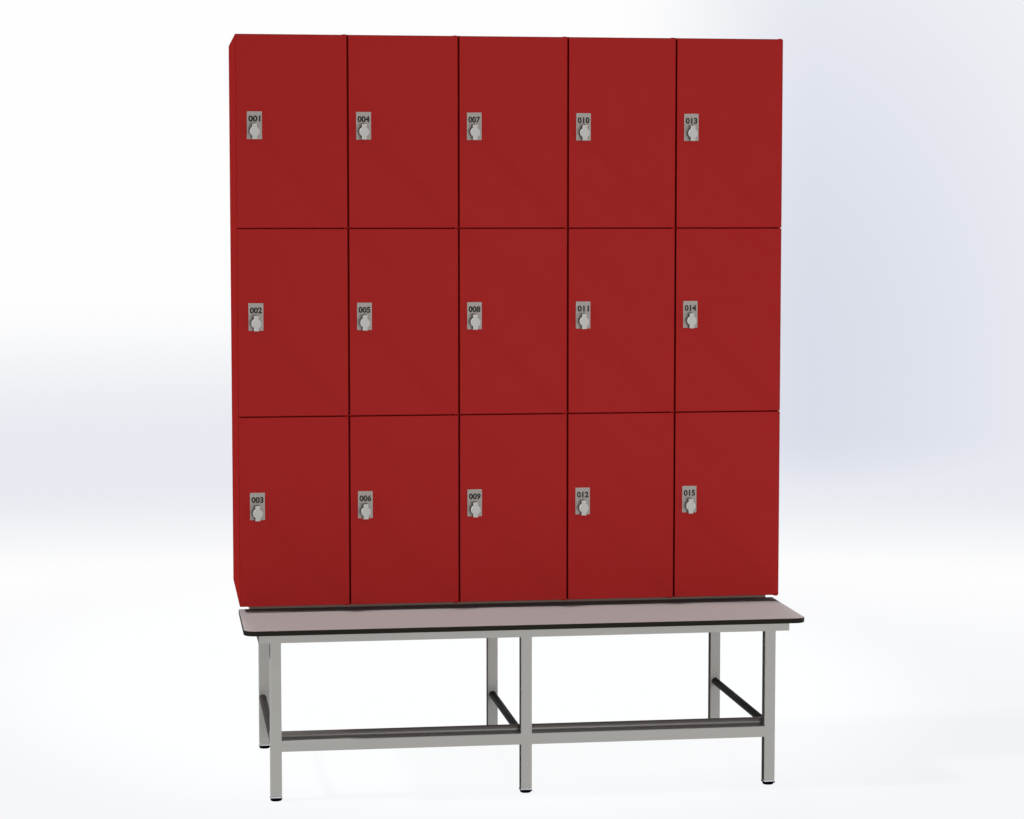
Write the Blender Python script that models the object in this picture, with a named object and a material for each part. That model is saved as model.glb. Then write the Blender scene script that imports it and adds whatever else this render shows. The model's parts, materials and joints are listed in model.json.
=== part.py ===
"""Locker with bench: fifteen laminate doors in five columns on a tubular steel bench.

Metres, +Z up, front facing -Y, origin on the floor at the centre of the footprint.
Every panel, frame, hinge strip, door, lock knob and foot is its own object.
"""

import math

import bmesh
import bpy
from mathutils import Vector

# Clearances
SEAT_GAP = 0.0003
RUNNING_GAP = 0.0003
SWING_GAP = 0.0005

# Locker: columns, tiers and outside sizes
COLUMNS = 5
TIERS = 3
LOCKER_WIDTH = 1.500
LOCKER_DEPTH = 0.530
COLUMN_PITCH = 0.3005
BOTTOM_TIER_HEIGHT = 0.5193
MIDDLE_TIER_HEIGHT = 0.5082
TOP_TIER_HEIGHT = 0.5192
PANEL_THICKNESS = 0.013
BACK_THICKNESS = 0.006
PANEL_EDGE = 0.0006

# Doors
DOOR_THICKNESS = 0.013
DOOR_EXTRA_SIDE_GAP = 0.0012
DOOR_EDGE = 0.0008

# Pivot hinges: one strip a column, with a tab and pins between the stacked doors
STRIP_THICKNESS = 0.0024
TAB_THICKNESS = 0.0018
TAB_CLEARANCE = 0.0006
TAB_RADIUS = 0.0055
PIN_DIAMETER = 0.005
PIN_LENGTH = 0.011
PIN_END_GAP = 0.001

# Locks
PLATE_WIDTH = 0.040
PLATE_HEIGHT = 0.074
PLATE_THICKNESS = 0.002
PLATE_EDGE = 0.0005
PLATE_ABOVE_CENTRE = 0.0163
KNOB_FROM_PANEL = 0.0362
KNOB_BELOW_PLATE_TOP = 0.054
CASE_WIDTH = 0.034
CASE_HEIGHT = 0.048
CASE_DEPTH = 0.014
CASE_EDGE = 0.001
KNOB_DIAMETER = 0.027
KNOB_HEIGHT = 0.020
KNOB_EDGE = 0.0014
GRIP_WIDTH = 0.013
GRIP_LENGTH = 0.041
COLLAR_DIAMETER = 0.022
COLLAR_HEIGHT = 0.003
SPINDLE_DIAMETER = 0.012
CAM_WIDTH = 0.014
CAM_THICKNESS = 0.003
CAM_RUNNING_GAP = 0.0005
CAM_BITE = 0.006
CAM_SLOT_CLEARANCE = 0.0008

# Bench seat
SEAT_HEIGHT = 0.4654
SEAT_SIDE_OVERHANG = 0.0015
SEAT_FRONT_OVERHANG = 0.301
SEAT_UNDER_LOCKER = 0.074
SEAT_THICKNESS = 0.013
SEAT_CORNER_RADIUS = 0.030
SEAT_EDGE = 0.001

# Plinth behind the seat plank, on the bench frame and under the locker
LOCKER_LIFT = 0.0150
PLINTH_INSET = 0.030
PLINTH_BAR = 0.030

# Bench frame
TUBE = 0.030
TUBE_CORNER = 0.002
RAIL_FROM_SEAT_END = 0.0355
RAIL_PAST_LEG = 0.0335
RAIL_SHIFT = 0.0043
LEG_FROM_DOORS = 0.2385
LEG_SPREAD = 0.656
LOW_RAIL_TOP = 0.1622
STRETCHER_DIAMETER = 0.025
STRETCHER_ABOVE_RAIL = 0.0044
CROSS_BAR_DIAMETER = 0.021
LEFT_BAR_HEIGHT = 0.149
LEFT_BAR_SHIFT = 0.004
MIDDLE_BAR_HEIGHT = 0.1405
RIGHT_BAR_HEIGHT = 0.162

# Feet
PAD_DIAMETER = 0.030
PAD_HEIGHT = 0.008
PAD_EDGE = 0.0015
COLLAR_PLATE_HEIGHT = 0.005
PLUG_LENGTH = 0.030
TUBE_WALL = 0.002

# Facets of round pieces
ROUND_SIDES = 20
PIN_SIDES = 12
CORNER_STEPS = 5

# Sizes that follow from the ones above
PIVOT_INSET = DOOR_THICKNESS / 2
CORNER_SWING = math.hypot(PIVOT_INSET, DOOR_THICKNESS / 2)
DOOR_BACK_GAP = CORNER_SWING - DOOR_THICKNESS / 2 + SWING_GAP
DOOR_SIDE_GAP = CORNER_SWING - PIVOT_INSET + SWING_GAP + DOOR_EXTRA_SIDE_GAP
DOOR_END_GAP = TAB_THICKNESS + 2 * TAB_CLEARANCE
OVERALL_DEPTH = SEAT_FRONT_OVERHANG + LOCKER_DEPTH
DOOR_FACE_Y = SEAT_FRONT_OVERHANG - OVERALL_DEPTH / 2
DOOR_BACK_Y = DOOR_FACE_Y + DOOR_THICKNESS
PIVOT_Y = DOOR_FACE_Y + DOOR_THICKNESS / 2
STRIP_FRONT_Y = DOOR_BACK_Y + DOOR_BACK_GAP
CARCASS_FRONT_Y = STRIP_FRONT_Y + STRIP_THICKNESS + SEAT_GAP
LOCKER_BACK_Y = DOOR_FACE_Y + LOCKER_DEPTH
INNER_BACK_Y = LOCKER_BACK_Y - BACK_THICKNESS - SEAT_GAP
LOCKER_Z = SEAT_HEIGHT + LOCKER_LIFT
TIER_HEIGHTS = (BOTTOM_TIER_HEIGHT, MIDDLE_TIER_HEIGHT, TOP_TIER_HEIGHT)
LOCKER_HEIGHT = sum(TIER_HEIGHTS)
SLOT_WIDTH = PANEL_THICKNESS + 2 * SEAT_GAP
HALVING_Y = (CARCASS_FRONT_Y + INNER_BACK_Y) / 2
CAM_REACH = KNOB_FROM_PANEL + CAM_BITE
CAM_FRONT_Y = DOOR_BACK_Y + CASE_DEPTH + CAM_RUNNING_GAP
FRAME_TOP_Z = SEAT_HEIGHT - SEAT_THICKNESS - SEAT_GAP
LEG_BOTTOM_Z = PAD_HEIGHT + COLLAR_PLATE_HEIGHT + SEAT_GAP
FRONT_LEG_Y = DOOR_FACE_Y - LEG_FROM_DOORS
REAR_LEG_Y = FRONT_LEG_Y + LEG_SPREAD
SEAT_WIDTH = LOCKER_WIDTH + 2 * SEAT_SIDE_OVERHANG
RAIL_LENGTH = SEAT_WIDTH - 2 * RAIL_FROM_SEAT_END
RAIL_LEFT_X = RAIL_SHIFT - RAIL_LENGTH / 2
RAIL_RIGHT_X = RAIL_SHIFT + RAIL_LENGTH / 2
LEG_SPAN = RAIL_LENGTH - 2 * RAIL_PAST_LEG
LEG_CENTRES_X = (-(LEG_SPAN - TUBE) / 2, 0.0, (LEG_SPAN - TUBE) / 2)
SOCKET = TUBE - 2 * TUBE_WALL

SIDE_NAMES = ("left", "middle", "right")


def make_material(name, colour, roughness, metallic=0.0):
    """Principled material with a plain colour."""
    material = bpy.data.materials.new(name)
    material.use_nodes = True
    shader = material.node_tree.nodes["Principled BSDF"]
    shader.inputs["Base Color"].default_value = (*colour, 1.0)
    shader.inputs["Roughness"].default_value = roughness
    shader.inputs["Metallic"].default_value = metallic
    material.diffuse_color = (*colour, 1.0)
    return material


def add_object(name, bm, material=None, location=(0.0, 0.0, 0.0), parent=None):
    """Object from a bmesh whose coordinates are relative to its location."""
    bmesh.ops.recalc_face_normals(bm, faces=bm.faces)
    mesh = bpy.data.meshes.new(name)
    bm.to_mesh(mesh)
    bm.free()
    obj = bpy.data.objects.new(name, mesh)
    bpy.context.scene.collection.objects.link(obj)
    obj.parent = parent
    obj.location = location
    if material is not None:
        mesh.materials.append(material)
    return obj


def block(low, high, edge=0.0):
    """Box between two corners, with its edges broken by a small chamfer."""
    bm = bmesh.new()
    bmesh.ops.create_cube(bm, size=1.0)
    low = Vector(low)
    high = Vector(high)
    for vert in bm.verts:
        share = vert.co + Vector((0.5, 0.5, 0.5))
        vert.co = Vector([a + s * (b - a) for a, b, s in zip(low, high, share)])
    if edge:
        bmesh.ops.bevel(bm, geom=bm.edges[:], offset=edge, segments=1, affect="EDGES")
    return bm


def prism(outline, axis, start, end):
    """Closed outline extruded along an axis; the outline's plane keeps the X, Y, Z order."""
    place = {
        "X": lambda a, b: (start, a, b),
        "Y": lambda a, b: (a, start, b),
        "Z": lambda a, b: (a, b, start),
    }[axis]
    direction = Vector([end - start if axis == letter else 0.0 for letter in "XYZ"])
    bm = bmesh.new()
    face = bm.faces.new([bm.verts.new(place(a, b)) for a, b in outline])
    grown = bmesh.ops.extrude_face_region(bm, geom=[face])
    moved = [item for item in grown["geom"] if isinstance(item, bmesh.types.BMVert)]
    bmesh.ops.translate(bm, verts=moved, vec=direction)
    return bm


def rod(axis, start, end, centre, diameter, sides=ROUND_SIDES):
    """Round bar along an axis; centre gives its other two coordinates in X, Y, Z order."""
    radius = diameter / 2
    step = 2 * math.pi / sides
    points = [
        (centre[0] + radius * math.cos(k * step), centre[1] + radius * math.sin(k * step))
        for k in range(sides)
    ]
    return prism(points, axis, start, end)


def combine(target, operation, shapes):
    """Join hidden helper shapes to an object or cut them from it."""
    for number, bm in enumerate(shapes):
        helper = add_object(f"{target.name}_{operation.lower()}_{number}", bm, parent=target)
        helper.hide_render = True
        helper.display_type = "WIRE"
        modifier = target.modifiers.new(f"{operation.title()} {number}", "BOOLEAN")
        modifier.operation = operation
        modifier.object = helper


def smooth_rounds(obj, angle=40.0):
    """Shade round walls smooth and keep the edges between flat faces sharp."""
    obj.data.shade_smooth()
    obj.data.set_sharp_from_angle(angle=math.radians(angle))


def front_rounded_outline(x0, x1, y0, y1, radius):
    """Outline of a rectangle whose two front corners are rounded."""
    points = [(x1, y1), (x0, y1)]
    for cx, first in ((x0 + radius, 180.0), (x1 - radius, 270.0)):
        for k in range(CORNER_STEPS + 1):
            angle = math.radians(first + 90.0 * k / CORNER_STEPS)
            points.append((cx + radius * math.cos(angle), y0 + radius + radius * math.sin(angle)))
    return points


def seam_x(number):
    """Centre of the upright gap to the right of the column with this number."""
    return (number - COLUMNS / 2) * COLUMN_PITCH


def seam_z(number):
    """Centre of the level gap above the tier with this number, from the locker's base."""
    return LOCKER_Z + sum(TIER_HEIGHTS[:number])


def door_left_x(column):
    """Left edge of the doors in a column; columns count from 0."""
    if column == 0:
        return -LOCKER_WIDTH / 2
    return seam_x(column) + DOOR_SIDE_GAP / 2


def door_right_x(column):
    """Right edge of the doors in a column, which carries their hinges."""
    if column == COLUMNS - 1:
        return LOCKER_WIDTH / 2
    return seam_x(column + 1) - DOOR_SIDE_GAP / 2


def panel_face_x(column):
    """Inner face of the upright panel to the left of a column."""
    if column == 0:
        return -LOCKER_WIDTH / 2 + PANEL_THICKNESS
    return seam_x(column) + PANEL_THICKNESS / 2


def door_bottom_z(tier):
    """Bottom edge of the doors in a tier; tiers count from 0 at the bottom."""
    if tier == 0:
        return LOCKER_Z + TAB_THICKNESS + TAB_CLEARANCE
    return seam_z(tier) + DOOR_END_GAP / 2


def door_top_z(tier):
    """Top edge of the doors in a tier."""
    if tier == TIERS - 1:
        return LOCKER_Z + LOCKER_HEIGHT - TAB_THICKNESS - TAB_CLEARANCE
    return seam_z(tier + 1) - DOOR_END_GAP / 2


def plate_top_z(tier):
    """Top edge of the lock plates in a tier."""
    centre = (door_bottom_z(tier) + door_top_z(tier)) / 2
    return centre + PLATE_ABOVE_CENTRE + PLATE_HEIGHT / 2


def knob_z(tier):
    """Axis height of the lock knobs in a tier."""
    return plate_top_z(tier) - KNOB_BELOW_PLATE_TOP


def knob_x(column):
    """Place of the lock knobs across a column; every cam then reaches its panel alike."""
    return panel_face_x(column) + KNOB_FROM_PANEL


def make_door(name, column, tier, material):
    """Door leaf with its lock plate and lock case, hung on pins in its two ends."""
    axis_x = door_right_x(column) - PIVOT_INSET
    bottom = door_bottom_z(tier)
    height = door_top_z(tier) - bottom
    left = door_left_x(column) - axis_x
    front = DOOR_FACE_Y - PIVOT_Y
    back = front + DOOR_THICKNESS
    leaf = block((left, front, 0.0), (PIVOT_INSET, back, height), DOOR_EDGE)
    door = add_object(name, leaf, material, (axis_x, PIVOT_Y, bottom))

    knob_centre = (knob_x(column) - axis_x, knob_z(tier) - bottom)
    plate_left = knob_centre[0] - PLATE_WIDTH / 2
    plate_top = plate_top_z(tier) - bottom
    rooted = DOOR_THICKNESS / 3
    plate = block(
        (plate_left, front - PLATE_THICKNESS, plate_top - PLATE_HEIGHT),
        (plate_left + PLATE_WIDTH, front + rooted, plate_top),
        PLATE_EDGE,
    )
    case = block(
        (knob_centre[0] - CASE_WIDTH / 2, back - rooted, knob_centre[1] - CASE_HEIGHT / 2),
        (knob_centre[0] + CASE_WIDTH / 2, back + CASE_DEPTH, knob_centre[1] + CASE_HEIGHT / 2),
        CASE_EDGE,
    )
    combine(door, "UNION", [plate, case])

    bore = PIN_DIAMETER + 2 * RUNNING_GAP
    depth = PIN_LENGTH - TAB_CLEARANCE + PIN_END_GAP
    outside = TAB_CLEARANCE
    spindle_bore = SPINDLE_DIAMETER + 2 * RUNNING_GAP
    combine(door, "DIFFERENCE", [
        rod("Z", -outside, depth, (0.0, 0.0), bore, PIN_SIDES),
        rod("Z", height - depth, height + outside, (0.0, 0.0), bore, PIN_SIDES),
        rod(
            "Y",
            front - 2 * PLATE_THICKNESS,
            back + 2 * CASE_DEPTH,
            knob_centre,
            spindle_bore,
            PIN_SIDES,
        ),
    ])
    return door


def knob_outline():
    """Round knob with an upright grip bar across it, seen from the front."""
    radius = KNOB_DIAMETER / 2
    half_width = GRIP_WIDTH / 2
    half_length = GRIP_LENGTH / 2
    meeting = math.acos(half_width / radius)
    steps = ROUND_SIDES // 2
    points = []
    for side in (1, -1):
        for k in range(steps + 1):
            angle = side * meeting * (1 - 2 * k / steps)
            points.append((side * radius * math.cos(angle), radius * math.sin(angle)))
        points.append((side * half_width, -side * half_length))
        points.append((-side * half_width, -side * half_length))
    return points


def make_lock_knob(name, column, tier, door, material):
    """Turn knob, spindle and cam of one lock; the cam hangs down while unlocked."""
    face = -PLATE_THICKNESS - RUNNING_GAP
    grip = prism(knob_outline(), "Y", face - COLLAR_HEIGHT - KNOB_HEIGHT, face - COLLAR_HEIGHT)
    front_edges = [
        edge for edge in grip.edges
        if all(vert.co.y < face - COLLAR_HEIGHT - KNOB_HEIGHT / 2 for vert in edge.verts)
    ]
    bmesh.ops.bevel(grip, geom=front_edges, offset=KNOB_EDGE, segments=1, affect="EDGES")
    location = Vector((knob_x(column), DOOR_FACE_Y, knob_z(tier))) - door.location
    knob = add_object(name, grip, material, location, door)

    rooted = KNOB_HEIGHT / 4
    cam_front = CAM_FRONT_Y - DOOR_FACE_Y
    cam_back = cam_front + CAM_THICKNESS
    half = CAM_WIDTH / 2
    root_angle = math.pi / CORNER_STEPS
    cam_points = [
        (half * math.cos(k * root_angle), half * math.sin(k * root_angle))
        for k in range(CORNER_STEPS + 1)
    ]
    cam_points += [(-half, -CAM_REACH), (half, -CAM_REACH)]
    combine(knob, "UNION", [
        rod("Y", face - COLLAR_HEIGHT - rooted, face, (0.0, 0.0), COLLAR_DIAMETER),
        rod(
            "Y",
            face - rooted,
            cam_back - CAM_THICKNESS / 2,
            (0.0, 0.0),
            SPINDLE_DIAMETER,
            PIN_SIDES,
        ),
        prism(cam_points, "Y", cam_front, cam_back),
    ])
    return knob


def cam_slot(tier, face_x, depth):
    """Milled pocket in the panel beside a column, which the turned cam swings into."""
    corner = math.hypot(CAM_REACH, CAM_WIDTH / 2)
    drop = math.sqrt(corner ** 2 - KNOB_FROM_PANEL ** 2)
    centre = knob_z(tier)
    return block(
        (face_x - depth, CAM_FRONT_Y - CAM_SLOT_CLEARANCE, centre - drop - CAM_SLOT_CLEARANCE),
        (
            face_x + depth,
            CAM_FRONT_Y + CAM_THICKNESS + CAM_SLOT_CLEARANCE,
            centre + CAM_WIDTH / 2 + CAM_SLOT_CLEARANCE,
        ),
    )


def cut_cam_slots(panel, column):
    """Cut one cam pocket a tier in the panel to the left of a column."""
    depth = CAM_BITE + CAM_SLOT_CLEARANCE
    combine(panel, "DIFFERENCE", [
        cam_slot(tier, panel_face_x(column), depth) for tier in range(TIERS)
    ])


def make_sides(material):
    """Two outer side panels."""
    half = LOCKER_WIDTH / 2
    top = LOCKER_Z + LOCKER_HEIGHT
    left = block(
        (-half, CARCASS_FRONT_Y, LOCKER_Z),
        (-half + PANEL_THICKNESS, LOCKER_BACK_Y, top),
        PANEL_EDGE,
    )
    right = block(
        (half - PANEL_THICKNESS, CARCASS_FRONT_Y, LOCKER_Z),
        (half, LOCKER_BACK_Y, top),
        PANEL_EDGE,
    )
    side_left = add_object("side_left", left, material)
    add_object("side_right", right, material)
    cut_cam_slots(side_left, 0)


def make_divider(number, material):
    """Upright divider, slotted from its front edge for the two shelves."""
    bottom = LOCKER_Z + PANEL_THICKNESS + SEAT_GAP
    top = LOCKER_Z + LOCKER_HEIGHT - PANEL_THICKNESS - SEAT_GAP
    slot_end = HALVING_Y + SEAT_GAP / 2
    outline = [(INNER_BACK_Y, top), (INNER_BACK_Y, bottom), (CARCASS_FRONT_Y, bottom)]
    for tier in range(1, TIERS):
        low = seam_z(tier) - SLOT_WIDTH / 2
        high = seam_z(tier) + SLOT_WIDTH / 2
        outline += [(CARCASS_FRONT_Y, low), (slot_end, low), (slot_end, high), (CARCASS_FRONT_Y, high)]
    outline.append((CARCASS_FRONT_Y, top))
    centre = seam_x(number)
    bm = prism(outline, "X", centre - PANEL_THICKNESS / 2, centre + PANEL_THICKNESS / 2)
    divider = add_object(f"divider_{number}", bm, material)
    cut_cam_slots(divider, number)


def make_shelf(name, tier, material):
    """Full-width shelf, slotted from its rear edge for the dividers."""
    left = -LOCKER_WIDTH / 2 + PANEL_THICKNESS + SEAT_GAP
    right = -left
    slot_end = HALVING_Y - SEAT_GAP / 2
    outline = [
        (left, INNER_BACK_Y),
        (left, CARCASS_FRONT_Y),
        (right, CARCASS_FRONT_Y),
        (right, INNER_BACK_Y),
    ]
    for number in range(COLUMNS - 1, 0, -1):
        low = seam_x(number) - SLOT_WIDTH / 2
        high = seam_x(number) + SLOT_WIDTH / 2
        outline += [(high, INNER_BACK_Y), (high, slot_end), (low, slot_end), (low, INNER_BACK_Y)]
    centre = seam_z(tier)
    bm = prism(outline, "Z", centre - PANEL_THICKNESS / 2, centre + PANEL_THICKNESS / 2)
    add_object(name, bm, material)


def make_top_bottom_back(material):
    """Top and bottom between the sides, and the back panel behind everything."""
    inner = LOCKER_WIDTH / 2 - PANEL_THICKNESS - SEAT_GAP
    top = LOCKER_Z + LOCKER_HEIGHT
    for name, low in (("bottom_panel", LOCKER_Z), ("top_panel", top - PANEL_THICKNESS)):
        bm = block(
            (-inner, CARCASS_FRONT_Y, low),
            (inner, INNER_BACK_Y, low + PANEL_THICKNESS),
            PANEL_EDGE,
        )
        add_object(name, bm, material)
    back = block((-inner, LOCKER_BACK_Y - BACK_THICKNESS, LOCKER_Z), (inner, LOCKER_BACK_Y, top))
    add_object("back_panel", back, material)


def tab_outline(axis_x):
    """Hinge tab seen from above: a tongue with a round nose about the pin."""
    rooted = STRIP_FRONT_Y + STRIP_THICKNESS / 2
    steps = CORNER_STEPS
    nose = []
    for k in range(steps + 1):
        angle = -math.pi * k / steps
        nose.append((axis_x + TAB_RADIUS * math.cos(angle), PIVOT_Y + TAB_RADIUS * math.sin(angle)))
    return [(axis_x + TAB_RADIUS, rooted)] + nose + [(axis_x - TAB_RADIUS, rooted)]


def make_hinge_strip(column, material):
    """Steel strip on a panel's front edge, with the tabs and pins of a column's doors."""
    axis_x = door_right_x(column) - PIVOT_INSET
    if column == COLUMNS - 1:
        right = LOCKER_WIDTH / 2
    else:
        right = seam_x(column + 1) + PANEL_THICKNESS / 2
    top = LOCKER_Z + LOCKER_HEIGHT
    plate = block(
        (axis_x - TAB_RADIUS, STRIP_FRONT_Y, LOCKER_Z),
        (right, STRIP_FRONT_Y + STRIP_THICKNESS, top),
    )
    strip = add_object(f"hinge_strip_{column + 1}", plate, material)

    lows = [LOCKER_Z]
    lows += [seam_z(tier) - TAB_THICKNESS / 2 for tier in range(1, TIERS)]
    lows.append(top - TAB_THICKNESS)
    shapes = []
    for number, low in enumerate(lows):
        high = low + TAB_THICKNESS
        pin_low = low - PIN_LENGTH if number > 0 else (low + high) / 2
        pin_high = high + PIN_LENGTH if number < TIERS else (low + high) / 2
        shapes.append(prism(tab_outline(axis_x), "Z", low, high))
        shapes.append(rod("Z", pin_low, pin_high, (axis_x, PIVOT_Y), PIN_DIAMETER, PIN_SIDES))
    combine(strip, "UNION", shapes)


def make_plinth(material):
    """Ring of bars behind the seat plank that carries the locker on the bench frame."""
    half = LOCKER_WIDTH / 2 - PLINTH_INSET
    front = DOOR_FACE_Y + SEAT_UNDER_LOCKER + SEAT_GAP
    rear = REAR_LEG_Y + TUBE
    bottom = FRAME_TOP_Z + SEAT_GAP
    top = LOCKER_Z - SEAT_GAP
    plinth = add_object("plinth", block((-half, front, bottom), (half, rear, top)), material)
    inside = half - PLINTH_BAR
    hole = block(
        (-inside, front + PLINTH_BAR, bottom - PLINTH_BAR),
        (inside, rear - PLINTH_BAR, top + PLINTH_BAR),
    )
    combine(plinth, "DIFFERENCE", [hole])


def make_seat(material):
    """Seat plank with rounded front corners."""
    outline = front_rounded_outline(
        -SEAT_WIDTH / 2,
        SEAT_WIDTH / 2,
        DOOR_FACE_Y - SEAT_FRONT_OVERHANG,
        DOOR_FACE_Y + SEAT_UNDER_LOCKER,
        SEAT_CORNER_RADIUS,
    )
    bm = prism(outline, "Z", SEAT_HEIGHT - SEAT_THICKNESS, SEAT_HEIGHT)
    rims = [edge for edge in bm.edges if abs(edge.verts[0].co.z - edge.verts[1].co.z) < SEAT_EDGE]
    bmesh.ops.bevel(bm, geom=rims, offset=SEAT_EDGE, segments=1, affect="EDGES")
    smooth_rounds(add_object("seat_plank", bm, material))


def frame_outline(under_rail):
    """Front view of a rail on three legs; under_rail is the underside between the legs."""
    half_tube = TUBE / 2
    rail_bottom = FRAME_TOP_Z - TUBE
    points = [
        (RAIL_LEFT_X, rail_bottom),
        (RAIL_LEFT_X, FRAME_TOP_Z),
        (RAIL_RIGHT_X, FRAME_TOP_Z),
        (RAIL_RIGHT_X, rail_bottom),
    ]
    for number, centre in enumerate(reversed(LEG_CENTRES_X)):
        right_top = rail_bottom if number == 0 else under_rail
        left_top = rail_bottom if number == len(LEG_CENTRES_X) - 1 else under_rail
        points.append((centre + half_tube, right_top))
        points.append((centre + half_tube, LEG_BOTTOM_Z))
        points.append((centre - half_tube, LEG_BOTTOM_Z))
        points.append((centre - half_tube, left_top))
    return points


def round_tube_edges(frame):
    """Rounded long edges of square tube."""
    bevel = frame.modifiers.new("Tube corners", "BEVEL")
    bevel.width = TUBE_CORNER
    bevel.segments = 2
    bevel.limit_method = "ANGLE"
    bevel.angle_limit = math.radians(40.0)


def leg_sockets(front_y):
    """Open ends of the leg tubes, which hold the feet's plugs."""
    middle_y = front_y + TUBE / 2
    half = SOCKET / 2
    return [
        block(
            (x - half, middle_y - half, LEG_BOTTOM_Z - TUBE_WALL),
            (x + half, middle_y + half, LEG_BOTTOM_Z + PLUG_LENGTH + TUBE_WALL),
        )
        for x in LEG_CENTRES_X
    ]


def cross_bar(x, height, rear):
    """Round bar from just behind a front leg back to the given depth."""
    return rod("Y", FRONT_LEG_Y + TUBE + SEAT_GAP, rear, (x, height), CROSS_BAR_DIAMETER)


def make_frames(material):
    """Welded front frame with a low rail, and rear frame with the middle bar to the front."""
    low_rail_bottom = LOW_RAIL_TOP - TUBE
    rail_bottom = FRAME_TOP_Z - TUBE
    front_bm = prism(frame_outline(low_rail_bottom), "Y", FRONT_LEG_Y, FRONT_LEG_Y + TUBE)
    front = add_object("frame_front", front_bm, material)
    windows = []
    for left, right in zip(LEG_CENTRES_X, LEG_CENTRES_X[1:]):
        windows.append(block(
            (left + TUBE / 2, FRONT_LEG_Y - TUBE, LOW_RAIL_TOP),
            (right - TUBE / 2, FRONT_LEG_Y + 2 * TUBE, rail_bottom),
        ))
    combine(front, "DIFFERENCE", windows)
    round_tube_edges(front)
    combine(front, "DIFFERENCE", leg_sockets(FRONT_LEG_Y))

    rear_bm = prism(frame_outline(rail_bottom), "Y", REAR_LEG_Y, REAR_LEG_Y + TUBE)
    rear = add_object("frame_rear", rear_bm, material)
    round_tube_edges(rear)
    rooted = REAR_LEG_Y + TUBE / 2
    combine(rear, "UNION", [cross_bar(LEG_CENTRES_X[1], MIDDLE_BAR_HEIGHT, rooted)])
    combine(rear, "DIFFERENCE", leg_sockets(REAR_LEG_Y))


def make_cross_tubes(material):
    """Three tubes from the front rail to the rear rail, under the seat and the plinth."""
    centres = (RAIL_LEFT_X + TUBE / 2, 0.0, RAIL_RIGHT_X - TUBE / 2)
    front = FRONT_LEG_Y + TUBE + SEAT_GAP
    rear = REAR_LEG_Y - SEAT_GAP
    for name, centre in zip(SIDE_NAMES, centres):
        bm = block((centre - TUBE / 2, front, FRAME_TOP_Z - TUBE), (centre + TUBE / 2, rear, FRAME_TOP_Z))
        tube = add_object(f"cross_tube_{name}", bm, material)
        round_tube_edges(tube)


def make_stretcher(material):
    """Round tube behind the front legs with the two outer bars; the middle bar passes below."""
    height = LOW_RAIL_TOP + STRETCHER_ABOVE_RAIL
    centre_y = FRONT_LEG_Y + TUBE + SEAT_GAP + STRETCHER_DIAMETER / 2
    end = LEG_CENTRES_X[-1] + TUBE / 2
    long_tube = rod("X", -end, end, (centre_y, height), STRETCHER_DIAMETER)
    stretcher = add_object("stretcher", long_tube, material)
    rear = REAR_LEG_Y - SEAT_GAP
    combine(stretcher, "UNION", [
        cross_bar(LEG_CENTRES_X[0] - LEFT_BAR_SHIFT, LEFT_BAR_HEIGHT, rear),
        cross_bar(LEG_CENTRES_X[-1], RIGHT_BAR_HEIGHT, rear),
    ])


def make_foot(name, x, y, material):
    """Foot: a plug inside the leg, a square collar under it and a round pad."""
    half = TUBE / 2
    plug_half = SOCKET / 2 - SEAT_GAP
    collar_top = PAD_HEIGHT + COLLAR_PLATE_HEIGHT
    pad = rod("Z", 0.0, PAD_HEIGHT, (0.0, 0.0), PAD_DIAMETER)
    rim = [edge for edge in pad.edges if all(vert.co.z < PAD_HEIGHT / 2 for vert in edge.verts)]
    bmesh.ops.bevel(pad, geom=rim, offset=PAD_EDGE, segments=1, affect="EDGES")
    foot = add_object(name, pad, material, (x, y, 0.0))
    rooted = PAD_HEIGHT / 4
    plug_low = PAD_HEIGHT + COLLAR_PLATE_HEIGHT / 2
    plug_high = collar_top + PLUG_LENGTH
    combine(foot, "UNION", [
        block((-half, -half, PAD_HEIGHT - rooted), (half, half, collar_top)),
        block((-plug_half, -plug_half, plug_low), (plug_half, plug_half, plug_high)),
    ])


def make_feet(material):
    """Six feet under the six legs."""
    for row, front_y in (("front", FRONT_LEG_Y), ("rear", REAR_LEG_Y)):
        for side, x in zip(SIDE_NAMES, LEG_CENTRES_X):
            make_foot(f"foot_{row}_{side}", x, front_y + TUBE / 2, material)


def main():
    for obj in list(bpy.data.objects):
        bpy.data.objects.remove(obj)

    laminate = make_material("red_laminate", (0.27, 0.013, 0.012), 0.45)
    carcass = make_material("carcass_laminate", (0.24, 0.012, 0.011), 0.5)
    steel = make_material("frame_steel", (0.36, 0.36, 0.35), 0.35, 0.8)
    hinge_steel = make_material("hinge_steel", (0.20, 0.02, 0.02), 0.5, 0.3)
    lock_metal = make_material("lock_metal", (0.45, 0.45, 0.44), 0.3, 0.9)
    seat = make_material("seat_laminate", (0.36, 0.30, 0.29), 0.5)
    black = make_material("foot_plastic", (0.01, 0.01, 0.01), 0.6)

    make_sides(carcass)
    for number in range(1, COLUMNS):
        make_divider(number, carcass)
    make_shelf("shelf_lower", 1, carcass)
    make_shelf("shelf_upper", 2, carcass)
    make_top_bottom_back(carcass)
    for column in range(COLUMNS):
        make_hinge_strip(column, hinge_steel)
    for column in range(COLUMNS):
        for row in range(TIERS):
            tier = TIERS - 1 - row
            number = column * TIERS + row + 1
            door = make_door(f"door_{number:02d}", column, tier, laminate)
            make_lock_knob(f"lock_knob_{number:02d}", column, tier, door, lock_metal)
    make_plinth(black)
    make_seat(seat)
    make_frames(steel)
    make_cross_tubes(steel)
    make_stretcher(steel)
    make_feet(black)


main()
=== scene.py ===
"""Looks of the locker with bench: its finishes and small pieces, the studio and the camera.

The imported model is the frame. Metres, +Z up, the doors face -Y. The small pieces are the door
numbers, the screws, the rims of the feet and the right end of the plinth.
"""

import json
import math

import bmesh
import bpy
from mathutils import Matrix, Vector

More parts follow.
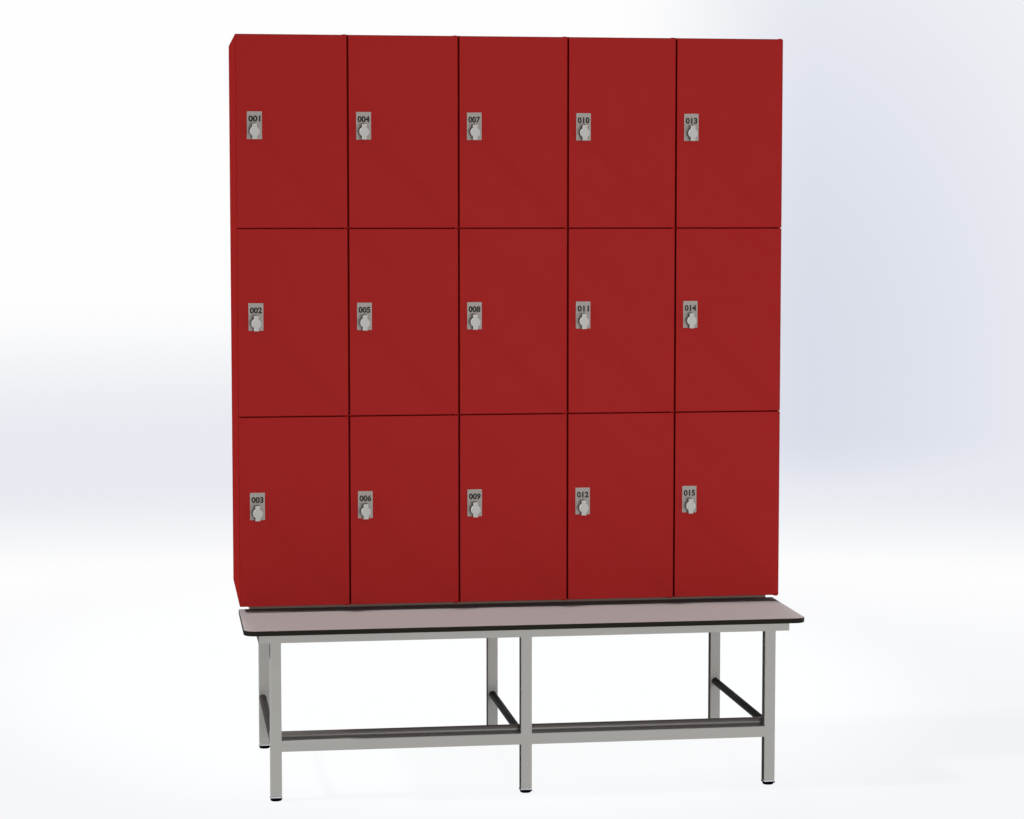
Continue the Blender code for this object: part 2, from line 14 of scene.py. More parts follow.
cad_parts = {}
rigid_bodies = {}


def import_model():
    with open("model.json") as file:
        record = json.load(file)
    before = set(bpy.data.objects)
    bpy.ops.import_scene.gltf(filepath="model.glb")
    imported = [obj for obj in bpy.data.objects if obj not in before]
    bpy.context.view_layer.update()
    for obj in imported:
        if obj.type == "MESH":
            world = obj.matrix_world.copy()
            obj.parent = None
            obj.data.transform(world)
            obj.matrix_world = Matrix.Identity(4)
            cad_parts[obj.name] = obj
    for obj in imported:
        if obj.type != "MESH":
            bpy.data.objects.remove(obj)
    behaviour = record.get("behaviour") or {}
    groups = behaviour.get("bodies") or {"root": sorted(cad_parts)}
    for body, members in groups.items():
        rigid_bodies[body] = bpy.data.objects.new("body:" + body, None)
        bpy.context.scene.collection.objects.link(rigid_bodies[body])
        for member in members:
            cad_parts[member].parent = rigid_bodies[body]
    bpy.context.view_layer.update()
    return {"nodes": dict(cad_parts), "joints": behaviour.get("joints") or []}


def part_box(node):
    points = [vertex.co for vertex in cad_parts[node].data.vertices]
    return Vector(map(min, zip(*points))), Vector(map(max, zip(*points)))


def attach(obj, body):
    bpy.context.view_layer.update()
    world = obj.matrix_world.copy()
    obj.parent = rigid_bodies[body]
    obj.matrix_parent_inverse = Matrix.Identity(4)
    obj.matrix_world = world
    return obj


CARCASS = "locker_and_bench"
DOORS = 15
COLUMNS = 5
FOOT_ROWS = ("front", "rear")
FOOT_SIDES = ("left", "middle", "right")

# Camera that the photograph was taken with, from edges measured in it
CAMERA_PLACE = (-0.9923, -6.8628, 1.5563)
CAMERA_PITCH = 0.0796
CAMERA_YAW = 0.1454
CAMERA_REACH = 200.0
FOCAL_LENGTH_PX = 2496.3
PHOTO_WIDTH_PX = 1024
SENSOR_MM = 36.0

# Colours, as sRGB out of 255
DOOR_RED = (150, 31, 30)
# Darker red on the door edges is painted shade, for the dark lines along the corners and the seams
# between doors
DOOR_EDGE_SHADE_RED = (116, 17, 13)
CARCASS_RED = (150, 34, 32)
SEAT_GREY = (154, 146, 145)
CORE_BLACK = (34, 32, 28)
TUBE_GREY = (163, 162, 158)
# Stretcher and cross bars are darker than the frame's grey: painted shade from under the seat
STRETCHER_SHADE_GREY = (92, 86, 84)
BAR_SHADE_GREY = (46, 43, 42)
PLINTH_GREY = (126, 109, 101)
HINGE_RED = (150, 24, 16)
PLATE_GREY = (151, 144, 139)
KNOB_GREY = (175, 174, 171)
# Dark grey on the knobs' side walls is painted shade, for the dark outline at their left
KNOB_SIDE_SHADE_GREY = (70, 70, 68)
SCREW_GREY = (182, 184, 181)
DIGIT_BLACK = (40, 40, 36)
COLLAR_GREY = (187, 188, 193)
PAD_BLACK = (6, 6, 6)
BACKDROP_WHITE = (254, 254, 254)
BACKDROP_BLUE = (216, 220, 232)
FLOOR_WHITE = (252, 253, 254)
FLOOR_BLUE = (243, 244, 248)

# Noise in each finish, in waves a metre: slow in colour, faster in gloss, finest in the bumps
COLOUR_NOISE_SCALE = 3.0
COLOUR_NOISE_DETAIL = 3.0
GLOSS_NOISE_SCALE = 22.0
GLOSS_NOISE_DETAIL = 4.0
BUMP_NOISE_DETAIL = 2.0

# Shares of its roughness that the gloss noise takes a finish to
ROUGHNESS_LEAST = 0.88
ROUGHNESS_MOST = 1.12

# Bump scale along each axis for metal that is brushed up and down
BRUSHED = (1.0, 1.0, 0.04)

# Where one node's finishes meet
DOOR_PLATE_PROUD = 0.002
DOOR_LEAF = 0.013
PAD_TOP = 0.008
STRETCHER_DIAMETER = 0.025
PLANE_TOLERANCE = 0.0003
FLAT_NORMAL = 0.9
# Knob faces nearer side-on than this take the dark grey that is painted shade
KNOB_SIDE_NORMAL = 0.3

# Door numbers on their plates
NUMBER_HEIGHT = 0.0168
NUMBER_WIDTH = 0.0328
NUMBER_ABOVE_KNOB = 0.0348
NUMBER_RAISED = 0.0002
NUMBER_SUNK = 0.0001

# What makes the font's digits bold and solid, in the font's own units
DIGIT_BOLDNESS = 0.04
DIGIT_DEPTH = 0.5
DIGIT_CURVE_STEPS = 3

# Screw heads; a ring is a share of the radius and a share of how far the head stands out
SCREW_RADIUS = 0.0032
SCREW_RAISED = 0.0007
SCREW_SIDES = 24
SCREW_RECESS = 0.5
SCREW_RECESS_ARMS = 4
SCREW_RECESS_WAVE = 0.25
SCREW_RINGS = ((1.0, -0.15), (1.0, 0.35), (0.86, 0.8), (0.55, 1.0), (SCREW_RECESS, 0.35))

# Screws of a hinge strip, which lies a small gap in front of its panel
STRIP_SCREWS = 12
STRIP_SCREW_FROM_END = 0.045
STRIP_SCREW_FROM_EDGE = 0.0065
STRIP_THICKNESS = 0.0024
STRIP_GAP = 0.0003

# Screws of a lock case, as seen from the knob's axis
CASE_SCREW_RADIUS = 0.0026
CASE_SCREW_ASIDE = 0.011
CASE_SCREW_ABOVE = 0.018

# Rim of a foot's pad
RIM_BOTTOM = 0.0055
RIM_TOP = 0.009
RIM_PROUD = 0.0006
RIM_CORNER = 0.0012
RIM_CORNER_STEPS = 4
RIM_EDGE = 0.0003

# Right end of the plinth
PLINTH_END_LENGTH = 0.012
PLINTH_END_EDGE = 0.001
PLINTH_END_EDGE_STEPS = 2

# Backdrop's blue: where each smooth step starts and is full, in a view direction's x or z
BAND_TOP = (-0.03, -0.09)
BAND_BOTTOM = (-0.146, -0.108)
BAND_AMOUNT = 0.6
PATCH_LEFT = (0.18, 0.265)
PATCH_RIGHT = (0.5, 0.24)
PATCH_TOP = (0.3, -0.06)
PATCH_BOTTOM = (-0.146, -0.085)

# Floor: pale under the object, where it keeps the shadow, and gone where the backdrop begins
FLOOR_RADIUS = 9.0
FLOOR_SIDES = 96
FLOOR_SOLID_TO = 1.6
FLOOR_GONE_AT = 4.5
FLOOR_PALENESS = 0.04
FLOOR_TINT_MIDDLE = (0.0, 1.6, 0.0)
FLOOR_TINT_SCALE = (1.5, 1.0, 1.0)
FLOOR_TINT_FROM = 1.75
FLOOR_TINT_FULL_AT = 2.7

# Light that falls on things from the studio around them, where 1 shows a colour as written;
# a step is in the cosine of the angle from where that light is strongest
FILL_EVEN = 0.02
FILL_FRONT = 0.95
FILL_FRONT_AIM = (0.34, -0.8, -0.49)
FILL_FRONT_STEP = (0.35, 0.85)
FILL_TOP = 0.3
FILL_TOP_STEP = (0.4, 1.0)

# Front lamp
FRONT_LIGHT_PLACE = (1.2, -7.5, 0.75)
FRONT_LIGHT_TARGET = (0.0, 0.0, 0.75)
FRONT_LIGHT_SIZE = (2.4, 1.4)
FRONT_LIGHT_POWER = 240.0

# Suns: the direction each stands in, its strength, where 1 shows a colour as written, its angle
SUN_DISTANCE = 10.0
SUNS = {
    "left_light": ((-0.7, -0.024, 0.71), 1.25, 0.1),
    "back_light": ((0.0, 0.8, 0.6), 0.55, 0.2),
    "right_light": ((0.85, 0.5, 0.0), 0.7, 0.2),
}


def linear(srgb):
    """Linear colour, with alpha, from an sRGB colour out of 255."""
    channels = []
    for value in srgb:
        share = value / 255
        if share <= 0.04045:
            channels.append(share / 12.92)
        else:
            channels.append(((share + 0.055) / 1.055) ** 2.4)
    return (*channels, 1.0)


def add_node(tree, kind, **values):
    """Shader node with its named inputs set."""
    node = tree.nodes.new(kind)
    for name, value in values.items():
        node.inputs[name.replace("_", " ")].default_value = value
    return node


def arithmetic(tree, operation, first, second):
    """Math node on two values, each a socket or a number."""
    node = tree.nodes.new("ShaderNodeMath")
    node.operation = operation
    for number, value in enumerate((first, second)):
        if isinstance(value, float):
            node.inputs[number].default_value = value
        else:
            tree.links.new(value, node.inputs[number])
    return node.outputs[0]


def product(tree, first, *others):
    """Product of values, each a socket or a number."""
    for other in others:
        first = arithmetic(tree, "MULTIPLY", first, other)
    return first


def vector_node(tree, operation, vector, constant=None):
    """Vector Math node on a vector and, where one is given, a constant."""
    node = tree.nodes.new("ShaderNodeVectorMath")
    node.operation = operation
    if constant is not None:
        node.inputs[1].default_value = constant
    tree.links.new(vector, node.inputs[0])
    return node


def ramp(tree, source, low, high):
    """Smooth step from 0 at low to 1 at high; low may be the larger."""
    node = tree.nodes.new("ShaderNodeMapRange")
    node.interpolation_type = "SMOOTHSTEP"
    node.inputs["From Min"].default_value = low
    node.inputs["From Max"].default_value = high
    tree.links.new(source, node.inputs["Value"])
    return node.outputs["Result"]


def noise(tree, vector, scale, detail):
    """Noise texture's value at a vector."""
    node = add_node(tree, "ShaderNodeTexNoise", Scale=scale, Detail=detail)
    tree.links.new(vector, node.inputs["Vector"])
    return node.outputs["Fac"]


def mixed_colour(tree, amount, first, second):
    """Colour between two constant ones, by an amount that is a socket."""
    node = tree.nodes.new("ShaderNodeMix")
    node.data_type = "RGBA"
    node.inputs["A"].default_value = first
    node.inputs["B"].default_value = second
    tree.links.new(amount, node.inputs["Factor"])
    return node.outputs["Result"]


def mixed_shader(tree, amount, first, second):
    """Shader between two others, by an amount; all three are sockets."""
    node = tree.nodes.new("ShaderNodeMixShader")
    tree.links.new(amount, node.inputs["Fac"])
    tree.links.new(first, node.inputs[1])
    tree.links.new(second, node.inputs[2])
    return node.outputs[0]


def finish_material(
    name,
    colour,
    roughness,
    metallic=0.0,
    specular=0.5,
    variation=0.03,
    grain=700.0,
    bump=0.00002,
    stretch=(1.0, 1.0, 1.0),
):
    """Surface with slight colour variation, uneven gloss and a fine bump.

    variation is a share of the colour, grain the bumps a metre, bump their height in metres,
    and stretch what their scale is multiplied by along each axis.
    """
    material = bpy.data.materials.new(name)
    material.use_nodes = True
    tree = material.node_tree
    shader = tree.nodes["Principled BSDF"]
    shader.inputs["Metallic"].default_value = metallic
    shader.inputs["Specular IOR Level"].default_value = specular
    place = tree.nodes.new("ShaderNodeTexCoord").outputs["Object"]

    cloud = noise(tree, place, COLOUR_NOISE_SCALE, COLOUR_NOISE_DETAIL)
    base = linear(colour)[:3]
    darker = (*[channel * (1 - variation) for channel in base], 1.0)
    lighter = (*[channel * (1 + variation) for channel in base], 1.0)
    tree.links.new(mixed_colour(tree, cloud, darker, lighter), shader.inputs["Base Color"])

    smear = noise(tree, place, GLOSS_NOISE_SCALE, GLOSS_NOISE_DETAIL)
    gloss = tree.nodes.new("ShaderNodeMapRange")
    gloss.inputs["To Min"].default_value = roughness * ROUGHNESS_LEAST
    gloss.inputs["To Max"].default_value = roughness * ROUGHNESS_MOST
    tree.links.new(smear, gloss.inputs["Value"])
    tree.links.new(gloss.outputs["Result"], shader.inputs["Roughness"])

    stretched = add_node(tree, "ShaderNodeMapping", Scale=stretch)
    tree.links.new(place, stretched.inputs["Vector"])
    height = noise(tree, stretched.outputs["Vector"], grain, BUMP_NOISE_DETAIL)
    relief = add_node(tree, "ShaderNodeBump", Strength=1.0, Distance=bump)
    tree.links.new(height, relief.inputs["Height"])
    tree.links.new(relief.outputs["Normal"], shader.inputs["Normal"])
    return material


def make_materials():
    """Every finish of the object, by a short name."""
    laminate = {"grain": 900.0, "variation": 0.012}
    return {
        "door": finish_material("door_laminate", DOOR_RED, 0.6, specular=0.04, **laminate),
        # The door edges' darker red is painted shade
        "door_edge_painted_shade": finish_material("door_edge_painted_shade", DOOR_EDGE_SHADE_RED, 0.7, specular=0.0, **laminate),
        "carcass": finish_material("carcass_laminate", CARCASS_RED, 0.7, specular=0.0, **laminate),
        "seat": finish_material("seat_laminate", SEAT_GREY, 0.6, specular=0.04, **laminate),
        "core": finish_material("laminate_core", CORE_BLACK, 0.6, specular=0.01),
        "tube": finish_material("frame_steel", TUBE_GREY, 0.5, specular=0.0, grain=1200.0),
        # The stretcher's and cross bars' dark greys are painted shade
        "stretcher": finish_material(
            "stretcher_steel", STRETCHER_SHADE_GREY, 0.32, specular=0.2, bump=0.000002
        ),
        "bar": finish_material("cross_bar_steel_painted_shade", BAR_SHADE_GREY, 0.45, specular=0.006, bump=0.000005),
        "plinth": finish_material("plinth_steel", PLINTH_GREY, 0.5, specular=0.05),
        "hinge": finish_material("hinge_steel", HINGE_RED, 0.6, specular=0.05),
        "plate": finish_material(
            "lock_plate", PLATE_GREY, 0.45, specular=0.1, stretch=BRUSHED, grain=1500.0
        ),
        "knob": finish_material("lock_knob", KNOB_GREY, 0.4, specular=0.1, bump=0.000005),
        # The knob side walls' dark grey is painted shade
        "knob_side_painted_shade": finish_material("lock_knob_side", KNOB_SIDE_SHADE_GREY, 0.5, specular=0.1),
        "digit": finish_material("door_number", DIGIT_BLACK, 0.6, specular=0.1),
        "collar": finish_material("foot_collar", COLLAR_GREY, 0.45, specular=0.2),
        "pad": finish_material("foot_pad", PAD_BLACK, 0.7, specular=0.0),
        "screw": finish_material("screw_steel", SCREW_GREY, 0.25, metallic=0.9, bump=0.000003),
    }


def dress(obj, *materials):
    """Give an object its finishes, the first one on every face."""
    obj.data.materials.clear()
    for material in materials:
        obj.data.materials.append(material)


def dress_faces(obj, material, wanted):
    """Put one of the object's finishes on the faces whose centre and normal are wanted."""
    number = list(obj.data.materials).index(material)
    for face in obj.data.polygons:
        if wanted(face.center, face.normal):
            face.material_index = number


def dress_doors(nodes, finishes):
    """Doors: laminate leaves with edges darkened as painted shade, metal lock plates and cases."""
    for number in range(1, DOORS + 1):
        door = nodes[f"door_{number:02d}"]
        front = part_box(door.name)[0].y + DOOR_PLATE_PROUD
        back = front + DOOR_LEAF
        dress(door, finishes["door"], finishes["plate"], finishes["door_edge_painted_shade"])
        # Edge faces take the darker red, which is painted shade
        dress_faces(
            door, finishes["door_edge_painted_shade"], lambda centre, normal: abs(normal.y) < FLAT_NORMAL
        )
        dress_faces(
            door,
            finishes["plate"],
            lambda centre, normal: centre.y < front - PLANE_TOLERANCE
            or centre.y > back + PLANE_TOLERANCE,
        )


def dress_bench(nodes, finishes):
    """Seat with a dark core on its edge, tube frame, stretcher, plinth and feet; the stretcher's and
    cross bars' dark greys are painted shade.
    """
    seat = nodes["seat_plank"]
    dress(seat, finishes["seat"], finishes["core"])
    dress_faces(seat, finishes["core"], lambda centre, normal: abs(normal.z) < FLAT_NORMAL)

    dress(nodes["frame_front"], finishes["tube"])
    rear = nodes["frame_rear"]
    legs_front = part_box("foot_rear_middle")[0].y
    dress(rear, finishes["tube"], finishes["bar"])
    # The middle cross bar takes the dark bar grey, which is painted shade
    dress_faces(
        rear, finishes["bar"], lambda centre, normal: centre.y < legs_front - PLANE_TOLERANCE
    )

    stretcher = nodes["stretcher"]
    tube_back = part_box("stretcher")[0].y + STRETCHER_DIAMETER
    # The stretcher's tube and its side bars take dark greys that are painted shade
    dress(stretcher, finishes["stretcher"], finishes["bar"])
    dress_faces(
        stretcher, finishes["bar"], lambda centre, normal: centre.y > tube_back + PLANE_TOLERANCE
    )

    for side in FOOT_SIDES:
        dress(nodes[f"cross_tube_{side}"], finishes["tube"])
        for row in FOOT_ROWS:
            foot = nodes[f"foot_{row}_{side}"]
            dress(foot, finishes["collar"], finishes["pad"])
            dress_faces(
                foot, finishes["pad"], lambda centre, normal: centre.z < PAD_TOP - PLANE_TOLERANCE
            )
    dress(nodes["plinth"], finishes["plinth"])


def dress_carcass(nodes, finishes):
    """Panels, shelves, dividers, hinge strips and lock knobs, with painted shade on the knobs' side
    walls.
    """
    panels = ["side_left", "side_right", "top_panel", "bottom_panel", "back_panel"]
    panels += ["shelf_lower", "shelf_upper"]
    panels += [f"divider_{number}" for number in range(1, COLUMNS)]
    for name in panels:
        dress(nodes[name], finishes["carcass"])
    for column in range(1, COLUMNS + 1):
        dress(nodes[f"hinge_strip_{column}"], finishes["hinge"])
    for number in range(1, DOORS + 1):
        knob = nodes[f"lock_knob_{number:02d}"]
        dress(knob, finishes["knob"], finishes["knob_side_painted_shade"])
        # Side walls take the dark grey, which is painted shade
        dress_faces(
            knob, finishes["knob_side_painted_shade"], lambda centre, normal: abs(normal.y) < KNOB_SIDE_NORMAL
        )


def knob_axes(joints):
    """A point on each lock knob's axis, by door number."""
    axes = {}
    for joint in joints:
        if joint["name"].startswith("lock_"):
            axes[int(joint["name"].split("_")[1])] = Vector(joint["pos_m"])
    return axes


def add_piece(name, mesh, material, body):
    """Shown piece that rides on a body."""
    obj = bpy.data.objects.new(name, mesh)
    bpy.context.scene.collection.objects.link(obj)
    mesh.materials.clear()
    mesh.materials.append(material)
    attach(obj, body)


def number_mesh(text):
    """Bold narrow digits as a thin solid in the XZ plane, facing -Y, centred on the origin."""
    curve = bpy.data.curves.new(f"text_{text}", "FONT")
    curve.body = text
    curve.align_x = "CENTER"
    curve.align_y = "CENTER"
    curve.offset = DIGIT_BOLDNESS
    curve.resolution_u = DIGIT_CURVE_STEPS
    curve.extrude = DIGIT_DEPTH
    holder = bpy.data.objects.new(curve.name, curve)
    bpy.context.scene.collection.objects.link(holder)
    bpy.context.view_layer.update()
    shape = holder.evaluated_get(bpy.context.evaluated_depsgraph_get())
    mesh = bpy.data.meshes.new_from_object(shape)
    bpy.data.objects.remove(holder)
    bpy.data.curves.remove(curve)

    lows = [min(vert.co[axis] for vert in mesh.vertices) for axis in range(3)]
    highs = [max(vert.co[axis] for vert in mesh.vertices) for axis in range(3)]
    middle = [(low + high) / 2 for low, high in zip(lows, highs)]
    wide = NUMBER_WIDTH / (highs[0] - lows[0])
    tall = NUMBER_HEIGHT / (highs[1] - lows[1])
    deep = (NUMBER_RAISED + NUMBER_SUNK) / (highs[2] - lows[2])
    for vert in mesh.vertices:
        x, y, z = [vert.co[axis] - middle[axis] for axis in range(3)]
        vert.co = Vector((x * wide, -z * deep, y * tall))
    return mesh


def add_numbers(axes, finishes):
    """Plain door numbers 001 to 015 on the lock plates."""
    for number, axis in axes.items():
        door = f"door_{number:02d}"
        plate_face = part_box(door)[0].y
        mesh = number_mesh(f"{number:03d}")
        y = plate_face + (NUMBER_SUNK - NUMBER_RAISED) / 2
        mesh.transform(Matrix.Translation((axis.x, y, axis.z + NUMBER_ABOVE_KNOB)))
        add_piece(f"number_{number:02d}", mesh, finishes["digit"], door)


def loft(bm, loops):
    """Faces between each loop of vertices and the next one."""
    for lower, upper in zip(loops, loops[1:]):
        for k, vert in enumerate(lower):
            after = (k + 1) % len(lower)
            bm.faces.new((vert, lower[after], upper[after], upper[k]))


def mesh_from(name, bm):
    """Mesh from a bmesh, with its normals outwards."""
    bmesh.ops.recalc_face_normals(bm, faces=bm.faces)
    mesh = bpy.data.meshes.new(name)
    bm.to_mesh(mesh)
    bm.free()
    return mesh


def screw_head(bm, centre, direction, radius=SCREW_RADIUS):
    """Low domed screw head with a cross recess, standing on a face along a direction."""
    turn = Vector((0.0, 0.0, 1.0)).rotation_difference(direction).to_matrix()
    loops = []
    for share, height in SCREW_RINGS:
        loop = []
        for k in range(SCREW_SIDES):
            angle = 2 * math.pi * k / SCREW_SIDES
            reach = radius * share
            if share == SCREW_RECESS:
                wave = math.cos(SCREW_RECESS_ARMS * angle)
                reach *= 1 - SCREW_RECESS_WAVE + SCREW_RECESS_WAVE * wave
            point = Vector((reach * math.cos(angle), reach * math.sin(angle), height * SCREW_RAISED))
            loop.append(bm.verts.new(centre + turn @ point))
        loops.append(loop)
    loft(bm, loops)
    bm.faces.new(loops[-1])
    bm.faces.new(list(reversed(loops[0])))


def add_strip_screws(finishes):
    """Screws that hold each hinge strip to its panel, seen with a door open."""
    forward = Vector((0.0, -1.0, 0.0))
    strip_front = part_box("side_left")[0].y - STRIP_THICKNESS - STRIP_GAP
    for column in range(1, COLUMNS + 1):
        low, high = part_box(f"hinge_strip_{column}")
        x = high.x - STRIP_SCREW_FROM_EDGE
        bm = bmesh.new()
        for k in range(STRIP_SCREWS):
            share = k / (STRIP_SCREWS - 1)
            z = low.z + STRIP_SCREW_FROM_END + share * (high.z - low.z - 2 * STRIP_SCREW_FROM_END)
            screw_head(bm, Vector((x, strip_front, z)), forward)
        mesh = mesh_from(f"strip_screws_{column}", bm)
        add_piece(f"strip_screws_{column}", mesh, finishes["hinge"], CARCASS)


def add_case_screws(axes, finishes):
    """Two screws on the back of each lock case."""
    backward = Vector((0.0, 1.0, 0.0))
    for number, axis in axes.items():
        door = f"door_{number:02d}"
        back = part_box(door)[1].y
        bm = bmesh.new()
        for side in (-1, 1):
            place = Vector((axis.x + CASE_SCREW_ASIDE, back, axis.z + side * CASE_SCREW_ABOVE))
            screw_head(bm, place, backward, CASE_SCREW_RADIUS)
        mesh = mesh_from(f"case_screws_{number:02d}", bm)
        add_piece(f"case_screws_{number:02d}", mesh, finishes["screw"], door)


def rounded_square(half, corner):
    """Outline points of a square with rounded corners, around the origin."""
    points = []
    for quarter in range(4):
        turn = quarter * math.pi / 2
        centre = Vector((half - corner, half - corner))
        centre.rotate(Matrix.Rotation(turn, 2))
        for k in range(RIM_CORNER_STEPS + 1):
            angle = turn + k * math.pi / 2 / RIM_CORNER_STEPS
            points.append(centre + corner * Vector((math.cos(angle), math.sin(angle))))
    return points


def add_pad_rims(finishes):
    """Black rim of each foot's pad, which stands up around the light collar under the leg."""
    for row in FOOT_ROWS:
        for side in FOOT_SIDES:
            low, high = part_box(f"foot_{row}_{side}")
            middle = (low + high) / 2
            inner = (high.x - low.x) / 2 - RIM_PROUD
            outer = (high.x - low.x) / 2 + RIM_PROUD
            profile = (
                (inner, RIM_BOTTOM),
                (outer, RIM_BOTTOM),
                (outer, RIM_TOP - RIM_EDGE),
                (outer - RIM_EDGE, RIM_TOP),
                (inner, RIM_TOP),
            )
            bm = bmesh.new()
            loops = []
            for half, z in profile:
                loop = [
                    bm.verts.new((middle.x + point.x, middle.y + point.y, z))
                    for point in rounded_square(half, RIM_CORNER + half - outer)
                ]
                loops.append(loop)
            loft(bm, loops + loops[:1])
            name = f"pad_rim_{row}_{side}"
            add_piece(name, mesh_from(name, bm), finishes["pad"], CARCASS)


def add_plinth_end(finishes):
    """Piece that lengthens the plinth at its right end, with its free edges rounded."""
    low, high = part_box("plinth")
    bm = bmesh.new()
    bmesh.ops.create_cube(bm, size=1.0)
    size = Vector((PLINTH_END_LENGTH, high.y - low.y, high.z - low.z))
    middle = Vector((high.x + size.x / 2, (low.y + high.y) / 2, (low.z + high.z) / 2))
    bmesh.ops.scale(bm, vec=size, verts=bm.verts)
    bmesh.ops.translate(bm, vec=middle, verts=bm.verts)
    free = [edge for edge in bm.edges if all(vert.co.x > middle.x for vert in edge.verts)]
    bmesh.ops.bevel(
        bm, geom=free, offset=PLINTH_END_EDGE, segments=PLINTH_END_EDGE_STEPS, affect="EDGES"
    )
    mesh = mesh_from("plinth_end", bm)
    add_piece("plinth_end", mesh, finishes["plinth"], CARCASS)


def shown_rays(tree):
    """1 for what the camera sees itself or in gloss or glass, 0 for light that falls on things."""
    path = tree.nodes.new("ShaderNodeLightPath")
    camera_or_gloss = arithmetic(
        tree, "MAXIMUM", path.outputs["Is Camera Ray"], path.outputs["Is Glossy Ray"]
    )
    return arithmetic(tree, "MAXIMUM", camera_or_gloss, path.outputs["Is Transmission Ray"])


def backdrop_colour(tree, x, z):
    """White backdrop with a soft blue band low down and a broad blue patch on the right."""
    band = product(tree, ramp(tree, z, *BAND_TOP), ramp(tree, z, *BAND_BOTTOM), BAND_AMOUNT)
    patch = product(
        tree,
        ramp(tree, x, *PATCH_LEFT),
        ramp(tree, x, *PATCH_RIGHT),
        ramp(tree, z, *PATCH_TOP),
        ramp(tree, z, *PATCH_BOTTOM),
    )
    blue = arithmetic(tree, "MAXIMUM", band, patch)
    return mixed_colour(tree, blue, linear(BACKDROP_WHITE), linear(BACKDROP_BLUE))


def fill_strength(tree, direction, z):
    """Light on things: most from the front, some from above and a little from all around."""
    facing = vector_node(tree, "DOT_PRODUCT", direction, FILL_FRONT_AIM).outputs["Value"]
    front = product(tree, ramp(tree, facing, *FILL_FRONT_STEP), FILL_FRONT)
    top = product(tree, ramp(tree, z, *FILL_TOP_STEP), FILL_TOP)
    return arithmetic(tree, "ADD", arithmetic(tree, "ADD", front, top), FILL_EVEN)


def make_world():
    """White studio with a soft blue tint that is only seen, and a fill that only lights."""
    world = bpy.data.worlds.new("studio")
    bpy.context.scene.world = world
    world.use_nodes = True
    tree = world.node_tree
    tree.nodes.clear()
    direction = tree.nodes.new("ShaderNodeTexCoord").outputs["Generated"]
    split = tree.nodes.new("ShaderNodeSeparateXYZ")
    tree.links.new(direction, split.inputs["Vector"])
    seen = add_node(tree, "ShaderNodeBackground", Strength=1.0)
    colour = backdrop_colour(tree, split.outputs["X"], split.outputs["Z"])
    tree.links.new(colour, seen.inputs["Color"])
    fill = add_node(tree, "ShaderNodeBackground", Color=(1.0, 1.0, 1.0, 1.0))
    tree.links.new(fill_strength(tree, direction, split.outputs["Z"]), fill.inputs["Strength"])
    studio = mixed_shader(tree, shown_rays(tree), fill.outputs[0], seen.outputs[0])
    output = tree.nodes.new("ShaderNodeOutputWorld")
    tree.links.new(studio, output.inputs["Surface"])


def floor_glow(tree, place):
    """Floor's own colour: white under the object, faintly blue at the picture's low corners."""
    offset = vector_node(tree, "SUBTRACT", place, FLOOR_TINT_MIDDLE).outputs["Vector"]
    stretched = vector_node(tree, "MULTIPLY", offset, FLOOR_TINT_SCALE).outputs["Vector"]
    reach = vector_node(tree, "LENGTH", stretched).outputs["Value"]
    glows = []
    for colour in (FLOOR_WHITE, FLOOR_BLUE):
        glow = [channel * (1 - FLOOR_PALENESS) for channel in linear(colour)[:3]]
        glows.append((*glow, 1.0))
    return mixed_colour(tree, ramp(tree, reach, FLOOR_TINT_FROM, FLOOR_TINT_FULL_AT), *glows)


def floor_material():
    """Glow that is only seen and a pale coat that takes the shadow, both gone further out."""
    material = bpy.data.materials.new("floor")
    material.use_nodes = True
    tree = material.node_tree
    tree.nodes.clear()
    lit = add_node(tree, "ShaderNodeBsdfDiffuse", Color=(*[FLOOR_PALENESS] * 3, 1.0))
    place = tree.nodes.new("ShaderNodeTexCoord").outputs["Object"]
    glow = tree.nodes.new("ShaderNodeEmission")
    tree.links.new(floor_glow(tree, place), glow.inputs["Color"])
    tree.links.new(shown_rays(tree), glow.inputs["Strength"])
    pale = tree.nodes.new("ShaderNodeAddShader")
    tree.links.new(lit.outputs[0], pale.inputs[0])
    tree.links.new(glow.outputs[0], pale.inputs[1])

    distance = vector_node(tree, "LENGTH", place).outputs["Value"]
    near = ramp(tree, distance, FLOOR_GONE_AT, FLOOR_SOLID_TO)
    path = tree.nodes.new("ShaderNodeLightPath")
    lighting = arithmetic(
        tree, "MAXIMUM", path.outputs["Is Diffuse Ray"], path.outputs["Is Shadow Ray"]
    )
    there = product(tree, near, arithmetic(tree, "SUBTRACT", 1.0, lighting))
    clear = tree.nodes.new("ShaderNodeBsdfTransparent")
    surface = mixed_shader(tree, there, clear.outputs[0], pale.outputs[0])
    output = tree.nodes.new("ShaderNodeOutputMaterial")
    tree.links.new(surface, output.inputs["Surface"])
    return material


def make_floor():
    """Pale floor that keeps the object's shadow and fades into the backdrop around it."""
    bm = bmesh.new()
    bmesh.ops.create_circle(bm, cap_ends=True, segments=FLOOR_SIDES, radius=FLOOR_RADIUS)
    mesh = bpy.data.meshes.new("floor")
    bm.to_mesh(mesh)
    bm.free()
    mesh.materials.append(floor_material())
    floor = bpy.data.objects.new("floor", mesh)
    bpy.context.scene.collection.objects.link(floor)


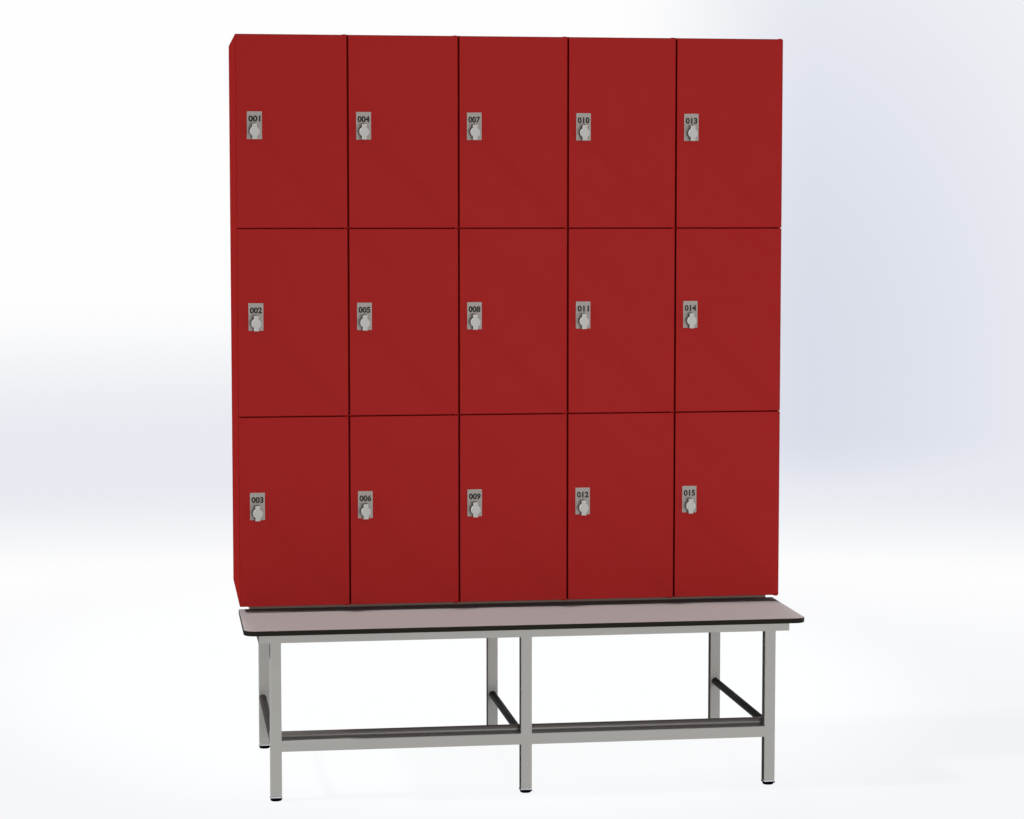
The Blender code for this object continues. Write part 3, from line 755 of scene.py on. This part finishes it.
def aim(obj, place, target):
    """Put a lamp at a place and turn it to a point."""
    obj.location = place
    obj.rotation_mode = "QUATERNION"
    obj.rotation_quaternion = (Vector(target) - Vector(place)).to_track_quat("-Z", "Y")
    bpy.context.scene.collection.objects.link(obj)


def add_front_light():
    """Soft rectangular lamp low in front of the object."""
    lamp = bpy.data.lights.new("front_light", "AREA")
    lamp.shape = "RECTANGLE"
    lamp.size, lamp.size_y = FRONT_LIGHT_SIZE
    lamp.energy = FRONT_LIGHT_POWER
    aim(bpy.data.objects.new(lamp.name, lamp), FRONT_LIGHT_PLACE, FRONT_LIGHT_TARGET)


def add_sun(name, towards, strength, angle):
    """Distant soft lamp that stands in a direction from the object and shines on it."""
    lamp = bpy.data.lights.new(name, "SUN")
    lamp.energy = strength * math.pi
    lamp.angle = angle
    place = SUN_DISTANCE * Vector(towards).normalized()
    aim(bpy.data.objects.new(name, lamp), place, (0.0, 0.0, 0.0))


def make_lights():
    """Low front lamp, a steep sun on the left for the side panel, and suns behind and right."""
    add_front_light()
    for name, sun in SUNS.items():
        add_sun(name, *sun)


def make_camera():
    """Camera at the photograph's place, with its focal length."""
    lens = bpy.data.cameras.new("camera")
    lens.sensor_width = SENSOR_MM
    lens.lens = FOCAL_LENGTH_PX * SENSOR_MM / PHOTO_WIDTH_PX
    lens.clip_end = CAMERA_REACH
    camera = bpy.data.objects.new("camera", lens)
    camera.location = CAMERA_PLACE
    camera.rotation_euler = (math.pi / 2 - CAMERA_PITCH, 0.0, -CAMERA_YAW)
    bpy.context.scene.collection.objects.link(camera)
    bpy.context.scene.camera = camera


for default in list(bpy.data.objects):
    bpy.data.objects.remove(default)
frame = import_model()
bpy.context.scene.view_settings.view_transform = "Standard"

finishes = make_materials()
dress_doors(frame["nodes"], finishes)
dress_carcass(frame["nodes"], finishes)
dress_bench(frame["nodes"], finishes)
axes = knob_axes(frame["joints"])
add_numbers(axes, finishes)
add_strip_screws(finishes)
add_case_screws(axes, finishes)
add_pad_rims(finishes)
add_plinth_end(finishes)
make_world()
make_floor()
make_lights()
make_camera()
